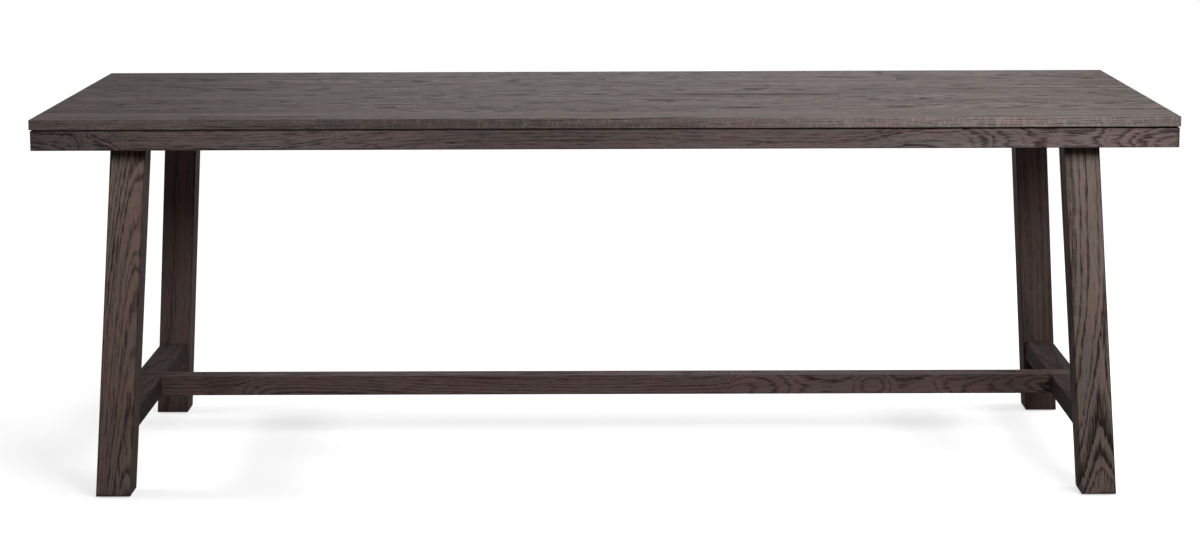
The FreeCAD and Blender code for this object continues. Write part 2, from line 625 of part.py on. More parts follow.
def glide_pattern():
    """Glide with a bevelled rim, whose pin is driven up into the foot."""
    body = add_body("one_glide")
    radius, bevel, rise = "size.glide_diameter / 2", "size.glide_bevel", "size.glide_height"
    pin, tip = "size.glide_pin_diameter / 2", "size.glide_height + size.glide_pin_length"
    turned(body, [("0", "0"), (f"{radius} - {bevel}", "0"), (radius, bevel), (radius, rise), (pin, rise),
                  (pin, tip), ("0", tip)])
    return body


ends = ((LEFT, "left"), (RIGHT, "right"))
sides = ((FRONT, "front"), (BACK, "back"))

# Top
for number, step in enumerate(stave_steps, start=1):
    top_stave(number, step)
for place, name in ((-1, "left_batten"), (0, "centre_batten"), (1, "right_batten")):
    batten(name, place)

# Apron frame
for side, name in sides:
    long_apron(f"{name}_apron", side)
for end, name in ends:
    end_apron(f"{name}_apron", end)
for end, end_name in ends:
    for side, side_name in sides:
        corner_block(f"{side_name}_{end_name}_corner_block", end, side)

# Trestles
for end, end_name in ends:
    for side, side_name in sides:
        leg(f"{side_name}_{end_name}_leg", end, side)
    top_rail(f"{end_name}_top_rail", end)
    cross_bar(f"{end_name}_cross_bar", end)
stretcher()

# Dowels between end aprons and long aprons
group("apron_dowels", dowel_pattern(), [
    (f"{end} * ({APRON_END} - size.apron_thickness / 2)",
     f"{side} * ({INNER_SIDE} - size.dowel_length + size.dowel_apron_depth)",
     f"{UNDERSIDE} + ({height})", TO_SIDE[side])
    for end, _ in ends for side, _ in sides for height in dowel_heights()])

# Angle brackets and their screws, one up into the top and one into the apron for each bracket
side_turns = {FRONT: FreeCAD.Rotation(), BACK: FreeCAD.Rotation(FreeCAD.Vector(0, 0, 1), 180)}
end_turns = {LEFT: FreeCAD.Rotation(FreeCAD.Vector(0, 0, 1), -90),
             RIGHT: FreeCAD.Rotation(FreeCAD.Vector(0, 0, 1), 90)}
group("apron_brackets", bracket_pattern(),
      [(place, f"{side} * {INNER_SIDE}", UNDERSIDE, side_turns[side])
       for side, _ in sides for place in bracket_places]
      + [(f"{end} * {INNER_END}", stave_y(step), UNDERSIDE, end_turns[end])
         for end, _ in ends for step in bracket_steps])
flange, hole = "size.bracket_thickness", "size.bracket_hole"
group("bracket_screws", screw("one_bracket_screw", "size.bracket_screw_length"),
      [(place, f"{side} * ({INNER_SIDE} - {hole})", f"{UNDERSIDE} - {flange}", UPWARDS)
       for side, _ in sides for place in bracket_places]
      + [(place, f"{side} * ({INNER_SIDE} - {flange})", f"{UNDERSIDE} - {hole}", TO_SIDE[side])
         for side, _ in sides for place in bracket_places]
      + [(f"{end} * ({INNER_END} - {hole})", stave_y(step), f"{UNDERSIDE} - {flange}", UPWARDS)
         for end, _ in ends for step in bracket_steps]
      + [(f"{end} * ({INNER_END} - {flange})", stave_y(step), f"{UNDERSIDE} - {hole}", TO_END[end])
         for end, _ in ends for step in bracket_steps])

# Corner block screws, one into each apron that the block touches
screw_z = f"{UNDERSIDE} - {BLOCK_SCREW_HEIGHT}"
group("corner_block_screws", screw("one_block_screw", "size.block_screw_length"),
      [(f"{end} * ({INNER_END} - size.block_screw_reach)", f"{side} * ({INNER_SIDE} - size.block_flat)",
        screw_z, TO_SIDE[side]) for end, _ in ends for side, _ in sides]
      + [(f"{end} * ({INNER_END} - size.block_flat)", f"{side} * ({INNER_SIDE} - size.block_screw_reach)",
          screw_z, TO_END[end]) for end, _ in ends for side, _ in sides])

# Batten screws, one into each stave
group("batten_screws", screw("one_batten_screw", "size.batten_screw_length"),
      [(f"{place} * size.batten_spacing", stave_y(step), BATTEN_SEAT, UPWARDS)
       for place in (-1, 0, 1) for step in stave_steps])

# Bolts, washers and threaded inserts of the rails and of the stretcher's laps
rail_places = [(f"{end} * {RAIL_X}", stave_y(step)) for end, _ in ends for step in middle_steps]
lap_places = [(f"{end} * {BAR_X}", "0") for end, _ in ends]
washer = ring("one_washer", "size.washer_diameter", "size.bolt_diameter + 2 * size.drill_clearance",
              "size.washer_thickness")
insert = ring("one_insert", "size.insert_diameter", "size.bolt_diameter + 2 * size.drill_clearance",
              "size.insert_length")
rail_bolt = bolt("one_rail_bolt", "size.rail_bolt_length")
lap_bolt = bolt("one_stretcher_bolt", "size.stretcher_bolt_length")
for name, places, seat, insert_z, fastener in (
        ("rail", rail_places, RAIL_SEAT, UNDERSIDE, rail_bolt),
        ("stretcher", lap_places, LAP_SEAT, BAR_MIDDLE, lap_bolt)):
    under_washer = f"{seat} - size.washer_thickness"
    group(f"{name}_bolts", fastener, [(x, y, under_washer, UPWARDS) for x, y in places])
    group(f"{name}_washers", washer, [(x, y, under_washer, UPWARDS) for x, y in places])
    group(f"{name}_inserts", insert, [(x, y, insert_z, UPWARDS) for x, y in places])

# Glides under the feet
group("foot_glides", glide_pattern(),
      [(f"{end} * {FOOT_X}", f"{side} * {FOOT_Y}", "0", UPWARDS) for end, _ in ends for side, _ in sides])

doc.recompute()
for item in doc.Objects:
    if "Invalid" in item.State or "Error" in item.State:
        raise RuntimeError(f"{item.Label} failed: {item.State}")
for piece in pieces:
    if piece.Shape.isNull() or not piece.Shape.isValid() or not piece.Shape.Solids:
        raise RuntimeError(f"{piece.Label} has no valid shape")
os.makedirs("parts", exist_ok=True)
for piece in pieces:
    piece.Shape.exportStep(f"parts/{piece.Label}.step")
    print(piece.Label, len(piece.Shape.Solids), round(piece.Shape.Volume))
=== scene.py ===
import math
import bmesh
import bpy
from mathutils import Euler, Matrix, Vector


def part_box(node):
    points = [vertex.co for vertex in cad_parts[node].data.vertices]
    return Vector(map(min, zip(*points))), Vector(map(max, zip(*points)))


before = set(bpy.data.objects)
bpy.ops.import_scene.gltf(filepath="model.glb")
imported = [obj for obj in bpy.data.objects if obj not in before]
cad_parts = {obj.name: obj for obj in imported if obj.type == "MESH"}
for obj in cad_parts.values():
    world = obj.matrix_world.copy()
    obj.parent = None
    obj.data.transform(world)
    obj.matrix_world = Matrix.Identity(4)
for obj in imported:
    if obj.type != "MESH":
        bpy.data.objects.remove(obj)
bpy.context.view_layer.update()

# Table top: eight oak staves, each end-jointed from shorter lengths, glued edge to edge and planed
# to one flat board. The oak is stained dark brown and sealed with a matt lacquer, so the open pores
# of each ring's early wood stay dark and slightly sunk.


def add(tree, kind, wires=None, **settings):
    """A shader node with its settings, its inputs wired to sockets or set to values."""
    made = tree.nodes.new("ShaderNode" + kind)
    for key, value in settings.items():
        setattr(made, key, value)
    for key, value in (wires or {}).items():
        if isinstance(value, bpy.types.NodeSocket):
            tree.links.new(value, made.inputs[key])
        else:
            made.inputs[key].default_value = value
    return made


def calc(tree, sign, *values):
    """One step of arithmetic on numbers."""
    return add(tree, "Math", dict(enumerate(values)), operation=sign).outputs[0]


def stretch(tree, place, along, across, depth):
    """The place scaled so that a pattern has this many repeats per metre each way."""
    return add(tree, "VectorMath", {0: place, 1: (along, across, depth)}, operation="MULTIPLY").outputs[0]


def cloud(tree, place, detail=2.0, rough=0.5):
    """Soft noise from 0 to 1 at a place."""
    wires = {"Vector": place, "Scale": 1.0, "Detail": detail, "Roughness": rough}
    return add(tree, "TexNoise", wires).outputs[0]


def rise(tree, value, low, high, start=0.0, end=1.0):
    """Start below low, end above high, and a smooth step between."""
    wires = {"Value": value, "From Min": low, "From Max": high, "To Min": start, "To Max": end}
    return add(tree, "MapRange", wires, interpolation_type="SMOOTHSTEP").outputs[0]


def tint(tree, amount, under, over, how="MIX"):
    """One colour laid over another. Sockets 6 and 7 are the two that take colours."""
    return add(tree, "Mix", {0: amount, 6: under, 7: over}, data_type="RGBA", blend_type=how).outputs[2]


def open_group(name, inputs, outputs):
    """A new shader node group, with its input and output sockets."""
    group = bpy.data.node_groups.new(name, "ShaderNodeTree")
    for label, kind in inputs.items():
        group.interface.new_socket(label, in_out="INPUT", socket_type="NodeSocket" + kind)
    for label, kind in outputs.items():
        group.interface.new_socket(label, in_out="OUTPUT", socket_type="NodeSocket" + kind)
    return group, group.nodes.new("NodeGroupInput").outputs, group.nodes.new("NodeGroupOutput").inputs


GRAIN_MASKS = ("Early Wood", "Pores", "Rays", "Fibres", "Tone", "Patch")
EDGE_MASKS = ("Wear", "Near Arris")


def grain_group():
    """Oak as it grows along the board's X: rings round a heart, early wood, pores, rays and fibres.

    Heart Across and Heart Depth place the heart, and Taper is how much the trunk has narrowed there.
    Waver is how far the rings wander, and Dip how far the heart does. Band widens the early wood,
    Feather makes its edges ragged, and Ticks is how strongly short dark marks show.
    """
    numbers = ("Heart Across", "Heart Depth", "Taper", "Ring Width", "Waver", "Dip", "Band", "Feather",
               "Ticks", "Seed")
    tree, given, result = open_group("oak_grain", {"Place": "Vector", **dict.fromkeys(numbers, "Float")},
                                     dict.fromkeys(GRAIN_MASKS, "Float"))
    # Every board takes its noise from another part of space.
    seed = given["Seed"]
    shift = add(tree, "CombineXYZ", {0: calc(tree, "MULTIPLY", seed, 1.73),
                                     1: calc(tree, "MULTIPLY", seed, 0.91),
                                     2: calc(tree, "MULTIPLY", seed, 1.37)}).outputs[0]
    log = add(tree, "VectorMath", {0: given["Place"], 1: shift}, operation="ADD").outputs[0]
    # The distance from the heart, which dips slowly along the board.
    spot = add(tree, "SeparateXYZ", {0: given["Place"]}).outputs
    bend = cloud(tree, stretch(tree, log, 0.55, 0.0, 0.0), 1.0)
    dip = calc(tree, "MULTIPLY", given["Dip"], calc(tree, "MULTIPLY_ADD", bend, 8.0, -4.0))
    across = calc(tree, "SUBTRACT", spot[1], given["Heart Across"])
    depth = calc(tree, "SUBTRACT", spot[2], calc(tree, "ADD", given["Heart Depth"], dip))
    radius = calc(tree, "SQRT", calc(tree, "ADD", calc(tree, "MULTIPLY", across, across),
                                     calc(tree, "MULTIPLY", depth, depth)))
    # The year that the wood grew in: rings wander slowly and quickly, differ in width and have ragged edges.
    slow = calc(tree, "MULTIPLY_ADD", cloud(tree, stretch(tree, log, 2.2, 17.0, 17.0)), 4.0, -2.0)
    quick = calc(tree, "MULTIPLY_ADD", cloud(tree, stretch(tree, log, 11.0, 70.0, 70.0)), 1.6, -0.8)
    wander = calc(tree, "MULTIPLY", calc(tree, "ADD", slow, quick), given["Waver"])
    grown = calc(tree, "ADD", calc(tree, "ADD", radius, given["Taper"]), wander)
    year = calc(tree, "DIVIDE", grown, given["Ring Width"])
    wires = {"W": calc(tree, "MULTIPLY_ADD", year, 0.55, seed), "Scale": 1.0, "Detail": 1.0}
    drift = add(tree, "TexNoise", wires, noise_dimensions="1D").outputs[0]
    year = calc(tree, "MULTIPLY_ADD", drift, 1.4, year)
    ragged = calc(tree, "SUBTRACT", cloud(tree, stretch(tree, log, 26.0, 380.0, 380.0)), 0.5)
    year = calc(tree, "ADD", year, calc(tree, "MULTIPLY", ragged, given["Feather"]))
    # Early wood starts sharply each year and fades into late wood, more in some years than in others.
    wires = {"W": calc(tree, "ADD", calc(tree, "FLOOR", year), seed)}
    luck = add(tree, "TexWhiteNoise", wires, noise_dimensions="1D").outputs[0]
    season = calc(tree, "DIVIDE", calc(tree, "FRACT", year), given["Band"])
    fade = rise(tree, season, 0.2, calc(tree, "MULTIPLY_ADD", luck, 0.3, 0.45), 1.0, 0.0)
    early = calc(tree, "MULTIPLY", rise(tree, season, 0.0, 0.12), fade)
    early = calc(tree, "MULTIPLY", early, calc(tree, "MULTIPLY_ADD", luck, 0.5, 0.5))
    # Short dark marks, in patches.
    marks = rise(tree, cloud(tree, stretch(tree, log, 26.0, 62.0, 62.0), 1.0), 0.57, 0.67)
    patches = rise(tree, cloud(tree, stretch(tree, log, 5.0, 14.0, 14.0), 1.0), 0.45, 0.62)
    marks = calc(tree, "MULTIPLY", calc(tree, "MULTIPLY", marks, patches), given["Ticks"])
    early = calc(tree, "MAXIMUM", early, marks)
    # Pores are thin slits along the grain, most of them in early wood.
    slits = rise(tree, cloud(tree, stretch(tree, log, 40.0, 1500.0, 1500.0), 1.0), 0.54, 0.66)
    pores = calc(tree, "MULTIPLY", slits, calc(tree, "MULTIPLY_ADD", early, 0.75, 0.2))
    # Rays run straight out from the heart, so they are thin along the board and round it.
    turn = calc(tree, "ARCTAN2", across, depth)
    fan = add(tree, "CombineXYZ", {0: calc(tree, "MULTIPLY", spot[0], 215.0),
                                   1: calc(tree, "MULTIPLY", turn, 45.0),
                                   2: calc(tree, "MULTIPLY", radius, 70.0)}).outputs[0]
    fan = add(tree, "VectorMath", {0: fan, 1: shift}, operation="ADD").outputs[0]
    # Fibres, fine and coarse.
    fine = cloud(tree, stretch(tree, log, 5.0, 600.0, 600.0), 3.0, 0.6)
    coarse = cloud(tree, stretch(tree, log, 27.0, 250.0, 250.0), 2.0, 0.6)
    fibres = calc(tree, "MULTIPLY_ADD", fine, 0.35, calc(tree, "MULTIPLY", coarse, 0.65))
    masks = {"Early Wood": early, "Pores": pores, "Fibres": fibres,
             "Rays": rise(tree, cloud(tree, fan, 1.0), 0.5, 0.68),
             "Tone": cloud(tree, stretch(tree, log, 1.1, 9.0, 9.0)),
             "Patch": cloud(tree, stretch(tree, log, 9.0, 40.0, 40.0), 3.0)}
    for label, mask in masks.items():
        tree.links.new(mask, result[label])
    return tree


def arris_group():
    """Near the meeting of two faces of a box: how near the arris is, and where it is rubbed thin in places.
    """
    needs = {"Place": "Vector", "Half Size": "Vector", "Reach": "Float"}
    tree, given, result = open_group("worn_arris", needs, dict.fromkeys(EDGE_MASKS, "Float"))
    away = add(tree, "VectorMath", {0: given["Place"]}, operation="ABSOLUTE").outputs[0]
    away = add(tree, "VectorMath", {0: given["Half Size"], 1: away}, operation="SUBTRACT").outputs[0]
    x, y, z = add(tree, "SeparateXYZ", {0: away}).outputs
    # The middle one of the three distances is how far the nearest arris is.
    wider = calc(tree, "MINIMUM", calc(tree, "MAXIMUM", x, y), z)
    second = calc(tree, "MAXIMUM", calc(tree, "MINIMUM", x, y), wider)
    near = rise(tree, calc(tree, "DIVIDE", second, given["Reach"]), 0.25, 1.0, 1.0, 0.0)
    patchy = rise(tree, cloud(tree, stretch(tree, given["Place"], 17.0, 23.0, 23.0), 3.0), 0.3, 0.68)
    tree.links.new(calc(tree, "MULTIPLY", near, patchy), result["Wear"])
    tree.links.new(near, result["Near Arris"])
    return tree


FILLED_PORE = (0.010, 0.007, 0.007, 1.0)
RUBBED_OAK = (0.21, 0.165, 0.14, 1.0)
COOLER = (0.95, 1.015, 1.01, 1.0)
WARMER = (1.05, 0.98, 0.99, 1.0)


def finish_group():
    """Stain and matt lacquer over the grain: colour, roughness and relief.

    Figure is how dark the early wood takes the stain, Streaks the fibres, and Fleck how light the rays
    are. Arris Darkening is how much darker the colour is along the arrises. The stain's depth lightens or
    darkens it all, and on some boards it carries painted light and shade as well.
    """
    numbers = (*GRAIN_MASKS, *EDGE_MASKS, "Figure", "Streaks", "Fleck", "Arris Darkening", "Stain Depth and Painted Light")
    needs = {**dict.fromkeys(numbers, "Float"), "Light Stain": "Color", "Dark Stain": "Color"}
    tree, given, result = open_group("stain_and_lacquer", needs,
                                     {"Color": "Color", "Roughness": "Float", "Relief": "Float"})
    # Early wood, dark fibres and pores soak up the stain, and rays stay light.
    hair = calc(tree, "MULTIPLY", calc(tree, "MULTIPLY_ADD", given["Fibres"], -6.0, 3.0), given["Streaks"])
    wires = {0: given["Early Wood"], 1: given["Figure"], 2: hair}
    soak = add(tree, "Math", wires, operation="MULTIPLY_ADD", use_clamp=True).outputs[0]
    colour = tint(tree, soak, given["Light Stain"], given["Dark Stain"])
    colour = tint(tree, calc(tree, "MULTIPLY", given["Pores"], 0.75), colour, FILLED_PORE)
    fleck = calc(tree, "MULTIPLY", given["Rays"], given["Fleck"])
    colour = tint(tree, fleck, colour, given["Light Stain"], "ADD")
    # The colour varies along the board with the wood's tone and with painted light and shade, is darker
    # along the arrises, and is rubbed there.
    shade = rise(tree, given["Tone"], 0.25, 0.75, 0.72, 1.28)
    shade = calc(tree, "MULTIPLY", shade, given["Stain Depth and Painted Light"])
    arris_dark = calc(tree, "MULTIPLY", given["Near Arris"], given["Arris Darkening"])
    shade = calc(tree, "MULTIPLY", shade, calc(tree, "SUBTRACT", 1.0, arris_dark))
    colour = add(tree, "VectorMath", {0: colour, "Scale": shade}, operation="SCALE").outputs[0]
    hue = tint(tree, rise(tree, given["Patch"], 0.35, 0.65), COOLER, WARMER)
    colour = tint(tree, 1.0, colour, hue, "MULTIPLY")
    colour = tint(tree, calc(tree, "MULTIPLY", given["Wear"], 0.15), colour, RUBBED_OAK)
    tree.links.new(colour, result["Color"])
    # Stained wood and pores are duller, and rubbed arrises shine a little.
    dull = calc(tree, "MULTIPLY_ADD", soak, 0.12, 0.6)
    dull = calc(tree, "MULTIPLY_ADD", given["Pores"], 0.2, dull)
    dull = calc(tree, "MULTIPLY_ADD", given["Tone"], 0.12, dull)
    tree.links.new(calc(tree, "MULTIPLY_ADD", given["Wear"], -0.1, dull), result["Roughness"])
    # Pores and early wood lie lower than the fibres.
    sunk = calc(tree, "MULTIPLY_ADD", given["Pores"], -0.7, calc(tree, "MULTIPLY", soak, -0.3))
    tree.links.new(calc(tree, "MULTIPLY_ADD", given["Fibres"], 0.3, sunk), result["Relief"])
    return tree


GRAIN = grain_group()
ARRIS = arris_group()
FINISH = finish_group()


def bare_material(name):
    """A new material: itself, its nodes, its shader's inputs, and the place on the piece."""
    made = bpy.data.materials.new(name)
    made.use_nodes = True
    tree = made.node_tree
    return made, tree, tree.nodes["Principled BSDF"].inputs, add(tree, "TexCoord").outputs["Object"]


def dress(node, material):
    """Gives a piece its finish in every slot."""
    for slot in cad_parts[node].material_slots:
        slot.material = material


def along_board(tree, spot_x, half_length, value):
    """One value for the whole board, or a value that changes smoothly along it through (x, value) points."""
    if not isinstance(value, list):
        return value
    low = min(height for _, height in value)
    span = max(height for _, height in value) - low
    made = add(tree, "FloatCurve", {"Value": calc(tree, "MULTIPLY_ADD", spot_x, 0.5 / half_length, 0.5)})
    line = made.mapping.curves[0]
    while len(line.points) < len(value):
        line.points.new(0.5, 0.5)
    for point, (x, height) in zip(line.points, value):
        point.location = (0.5 + 0.5 * x / half_length, (height - low) / span)
        point.handle_type = "AUTO"
    made.mapping.extend = "HORIZONTAL"
    made.mapping.update()
    return calc(tree, "MULTIPLY_ADD", made.outputs[0], span, low)


def length_values(tree, spot_x, half_length, lengths):
    """Heart across, heart depth, tone and a mark of its own for each length in a stave.

    A length starts at an x and runs to the next. A colour ramp holds the values, packed into 0 to 1.
    """
    made = add(tree, "ValToRGB", {0: calc(tree, "MULTIPLY_ADD", spot_x, 0.5 / half_length, 0.5)})
    ramp = made.color_ramp
    ramp.interpolation = "CONSTANT"
    while len(ramp.elements) < len(lengths):
        ramp.elements.new(1.0)
    for stop, (start, across, depth, tone_and_light) in zip(ramp.elements, lengths):
        stop.position = 0.5 + 0.5 * start / half_length
        stop.color = (5.0 * across + 0.5, -5.0 * depth, 0.5 * tone_and_light, 1.0)
    values = add(tree, "SeparateColor", {0: made.outputs[0]}).outputs
    return (calc(tree, "MULTIPLY_ADD", values[0], 0.2, -0.1), calc(tree, "MULTIPLY", values[1], -0.2),
            calc(tree, "MULTIPLY", values[2], 2.0), calc(tree, "ADD", values[0], values[1]))


def reach(axes, size):
    """How far a box of this size goes from its middle along each of a board's own directions."""
    return Vector([sum(abs(part) * side / 2 for part, side in zip(axis, size)) for axis in axes])


ARRIS_REACH = 0.0032
SIDE_FACE = 0.0022
SIDE_BLEND = 0.0014


def oak_board(node, along, outward, light, dark, ring, waver, seed, heart_across=0.0, heart_depth=-0.06,
              dip=0.0, taper=0.0, band=1.0, feather=0.5, ticks=0.0, figure=1.0, streaks=0.3, fleck=0.1,
              tone_and_light=1.0, painted_side_shading=None, lengths=None, arris_darkening=0.0, sheen=0.015, half=None, whole=None):
    """Stained oak cut as one board, its grain along one direction and its face towards another.

    Heart across, heart depth, taper, figure and tone are one number, or (x, value) points along the
    board. The tone is the wood's own tone, and on some boards painted light and shade along it as well. The
    side shading is a side of the board, how deep it reaches there, and how much lighter or darker that face
    is painted: painted shade, and on the front edge of the top painted light as well. lengths are a stave's
    lengths. half is the board's half size where its box doesn't give it, and whole the box of the larger
    board that it is glued into, whose arrises it shares.
    """
    low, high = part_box(node)
    middle = (low + high) / 2
    along = Vector(along).normalized()
    across = Vector(outward).cross(along).normalized()
    axes = Matrix((along, across, along.cross(across)))
    half = half or reach(axes, high - low)
    made, tree, shader, place = bare_material(f"{node}_oak_board")
    wires = {0: place, 1: middle, 2: axes.transposed().to_euler()}
    place = add(tree, "Mapping", wires, vector_type="TEXTURE").outputs[0]
    spot_x, spot_y, _ = add(tree, "SeparateXYZ", {0: place}).outputs
    if lengths:
        heart_across, heart_depth, tone_and_light, own = length_values(tree, spot_x, half.x, lengths)
        seed = calc(tree, "MULTIPLY_ADD", own, 50.0, seed)
    grain = {"Place": place, "Ring Width": ring, "Waver": waver, "Dip": dip, "Band": band,
             "Feather": feather, "Ticks": ticks, "Seed": seed,
             "Taper": along_board(tree, spot_x, half.x, taper),
             "Heart Across": along_board(tree, spot_x, half.x, heart_across),
             "Heart Depth": along_board(tree, spot_x, half.x, heart_depth)}
    grain = add(tree, "Group", grain, node_tree=GRAIN).outputs
    edge_place = place
    edge_half = half
    if whole:
        to_middle = axes @ ((whole[0] + whole[1]) / 2 - middle)
        edge_place = add(tree, "VectorMath", {0: place, 1: to_middle}, operation="SUBTRACT").outputs[0]
        edge_half = reach(axes, whole[1] - whole[0])
    wires = {"Place": edge_place, "Half Size": edge_half, "Reach": ARRIS_REACH}
    corner = add(tree, "Group", wires, node_tree=ARRIS).outputs
    tone_and_light = along_board(tree, spot_x, half.x, tone_and_light)
    # Painted light and shade on one face: that face is painted lighter or darker, and the change goes into
    # the tone.
    if painted_side_shading:
        side, deep, change = painted_side_shading
        from_side = half.y - deep
        face = rise(tree, calc(tree, "MULTIPLY", spot_y, side), from_side, from_side + SIDE_BLEND)
        more = calc(tree, "MULTIPLY", face, along_board(tree, spot_x, half.x, change))
        tone_and_light = calc(tree, "MULTIPLY_ADD", tone_and_light, more, tone_and_light)
    # The tone, with the painted light and shade in it, scales the stain's colour.
    stain = {"Light Stain": (*light, 1.0), "Dark Stain": (*dark, 1.0), "Streaks": streaks, "Fleck": fleck,
             "Arris Darkening": arris_darkening, "Stain Depth and Painted Light": tone_and_light, "Figure": along_board(tree, spot_x, half.x, figure),
             **{label: grain[label] for label in GRAIN_MASKS},
             **{label: corner[label] for label in EDGE_MASKS}}
    stain = add(tree, "Group", stain, node_tree=FINISH).outputs
    shader["Specular IOR Level"].default_value = sheen
    tree.links.new(stain["Color"], shader["Base Color"])
    tree.links.new(stain["Roughness"], shader["Roughness"])
    bump = add(tree, "Bump", {"Strength": 0.35, "Distance": 0.0004, "Height": stain["Relief"]})
    tree.links.new(bump.outputs[0], shader["Normal"])
    dress(node, made)


RIGHT = Vector((1, 0, 0))
BACK = Vector((0, 1, 0))
UP = Vector((0, 0, 1))
TOP_LIGHT = (0.118, 0.0945, 0.0885)
TOP_DARK = (0.022, 0.017, 0.016)
# The tone of the top's front edge along it: partly the wood's own, and partly painted light that makes the
# edge lighter towards the table's right end.
FRONT_EDGE_TONE_AND_LIGHT = [(-1.1, 0.14), (-0.8, 0.1), (-0.55, 0.02), (-0.16, -0.08), (0.196, -0.07), (0.42, 0.06),
                   (0.6, 0.36), (0.8, 0.37), (1.1, 0.38)]
FRONT_STAVE = dict(figure=0.75, streaks=0.4125, fleck=0.3, painted_side_shading=(-1, SIDE_FACE, FRONT_EDGE_TONE_AND_LIGHT))
INNER_STAVE = dict(figure=1.3, streaks=0.715, fleck=0.2, ticks=1.0)
# Ring width, waver and dip of each stave, then its lengths: start, heart across, heart depth, tone.
# The tone is partly the wood's own and partly painted light, lighter towards the table's right end.
STAVES = [
    (0.0028, 0.0022, 0.006, [(-1.1, -0.030, -0.055, 1.0), (-0.80, -0.020, -0.050, 0.98),
                             (-0.55, -0.057, -0.070, 0.97), (-0.16, -0.055, -0.060, 0.95),
                             (0.196, -0.056, -0.050, 0.98), (0.465, -0.057, -0.060, 1.04),
                             (0.70, -0.058, -0.060, 1.08)]),
    (0.0050, 0.0028, 0.030, [(-1.1, 0.020, -0.075, 0.95), (-0.42, -0.050, -0.060, 0.99),
                             (0.22, 0.010, -0.080, 1.13)]),
    (0.0043, 0.0024, 0.026, [(-1.1, 0.050, -0.060, 0.96), (-0.66, -0.010, -0.070, 0.98),
                             (0.05, 0.040, -0.065, 1.04), (0.71, -0.050, -0.060, 1.13)]),
    (0.0056, 0.0032, 0.034, [(-1.1, -0.015, -0.065, 0.92), (-0.25, 0.030, -0.085, 1.0),
                             (0.48, -0.020, -0.070, 1.12)]),
    (0.0048, 0.0026, 0.030, [(-1.1, 0.030, -0.080, 0.95), (-0.58, -0.045, -0.060, 1.0),
                             (0.14, 0.000, -0.0778, 1.03), (0.80, 0.050, -0.060, 1.13)]),
    (0.0045, 0.0026, 0.026, [(-1.1, -0.040, -0.060, 0.91), (-0.36, 0.015, -0.070, 0.96),
                             (0.40, -0.030, -0.065, 1.10)]),
    (0.0052, 0.0030, 0.032, [(-1.1, 0.010, -0.070, 0.95), (-0.74, -0.040, -0.065, 0.98),
                             (0.00, 0.025, -0.080, 1.02), (0.62, -0.010, -0.065, 1.13)]),
    (0.0047, 0.0027, 0.028, [(-1.1, 0.040, -0.060, 0.93), (-0.50, 0.000, -0.075, 1.0),
                             (0.30, -0.040, -0.060, 1.09)]),
]
whole_top = (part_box("top_stave_1")[0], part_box(f"top_stave_{len(STAVES)}")[1])
for number, (ring, waver, dip, lengths) in enumerate(STAVES, 1):
    oak_board(f"top_stave_{number}", RIGHT, UP, TOP_LIGHT, TOP_DARK, ring, waver, 3.7 * number, dip=dip,
              lengths=lengths, whole=whole_top, sheen=0.05, **(FRONT_STAVE if number == 1 else INNER_STAVE))

# Battens and corner blocks: plain oak offcuts under the top, stained but not lacquered. Three battens
# are screwed across the staves to keep them flat, and a block stiffens each corner of the apron frame.
INNER_LIGHT = (0.115, 0.086, 0.070)
INNER_DARK = (0.045, 0.032, 0.026)
for number, side in enumerate(("left", "centre", "right")):
    oak_board(f"{side}_batten", BACK, -UP, INNER_LIGHT, INNER_DARK, ring=0.005, waver=0.002,
              seed=41.0 + number, heart_across=0.02, heart_depth=-0.05 - 0.01 * number, dip=0.01)
for front, side_y in (("front", -1), ("back", 1)):
    for end, side_x in (("left", -1), ("right", 1)):
        oak_board(f"{front}_{end}_corner_block", side_x * RIGHT - side_y * BACK, -UP, INNER_LIGHT,
                  INNER_DARK, ring=0.005, waver=0.0015, seed=47.0 + 2 * side_x + side_y,
                  heart_across=0.03, heart_depth=-0.04)

# Apron: four oak boards on edge in a frame under the top, stained and lacquered like it. A rebate along
# each board's upper edge leaves a dark shadow line below the top, and painted shade darkens the rebate's
# faces too, most towards the table's right end.
APRON_LIGHT = (0.112, 0.086, 0.081)
APRON_DARK = (0.034, 0.025, 0.024)
REBATE = 0.0039
# Painted shade on the rebate of the front and back boards, darker towards the right end.
REBATE_PAINTED_SHADE = [(-1.098, -0.4), (0.3, -0.6), (0.6, -0.95), (1.098, -0.96)]
# The front board's tone along it is partly its own and partly painted light, and painted shade darkens the
# last millimetres of its right end.
FRONT_APRON_TONE_AND_LIGHT = [(-1.098, 1.09), (-0.4, 1.04), (-0.2, 0.85), (0.4, 0.83), (0.7, 1.12), (1.085, 1.2),
                    (1.092, 0.8), (1.098, 0.5)]
FRONT_APRON_FIGURE = [(-1.098, 1.0), (-0.6, 0.9), (-0.35, 0.6), (0.4, 0.5), (0.56, 0.85), (1.098, 1.05)]
# The heart of the front board's tree, as x, across and depth.
FRONT_APRON_HEART = [
    (-1.098, -0.036, -0.021), (-1.04, -0.032, -0.031), (-1.0, -0.020, -0.054), (-0.96, -0.026, -0.073),
    (-0.92, -0.062, -0.062), (-0.85, -0.078, -0.047), (-0.66, -0.077, -0.047), (-0.55, -0.072, -0.043),
    (-0.45, -0.061, -0.035), (-0.35, -0.058, -0.025), (-0.2, -0.054, -0.023), (0.1, -0.054, -0.023),
    (0.45, -0.055, -0.023), (0.55, -0.044, -0.024), (0.6, -0.030, -0.030), (0.63, -0.022, -0.034),
    (0.67, -0.018, -0.037), (0.7, -0.018, -0.043), (0.74, -0.018, -0.053), (0.785, -0.018, -0.063),
    (0.835, -0.014, -0.072), (0.895, -0.006, -0.075), (0.97, -0.004, -0.064), (1.03, -0.012, -0.050),
    (1.098, -0.030, -0.035),
]
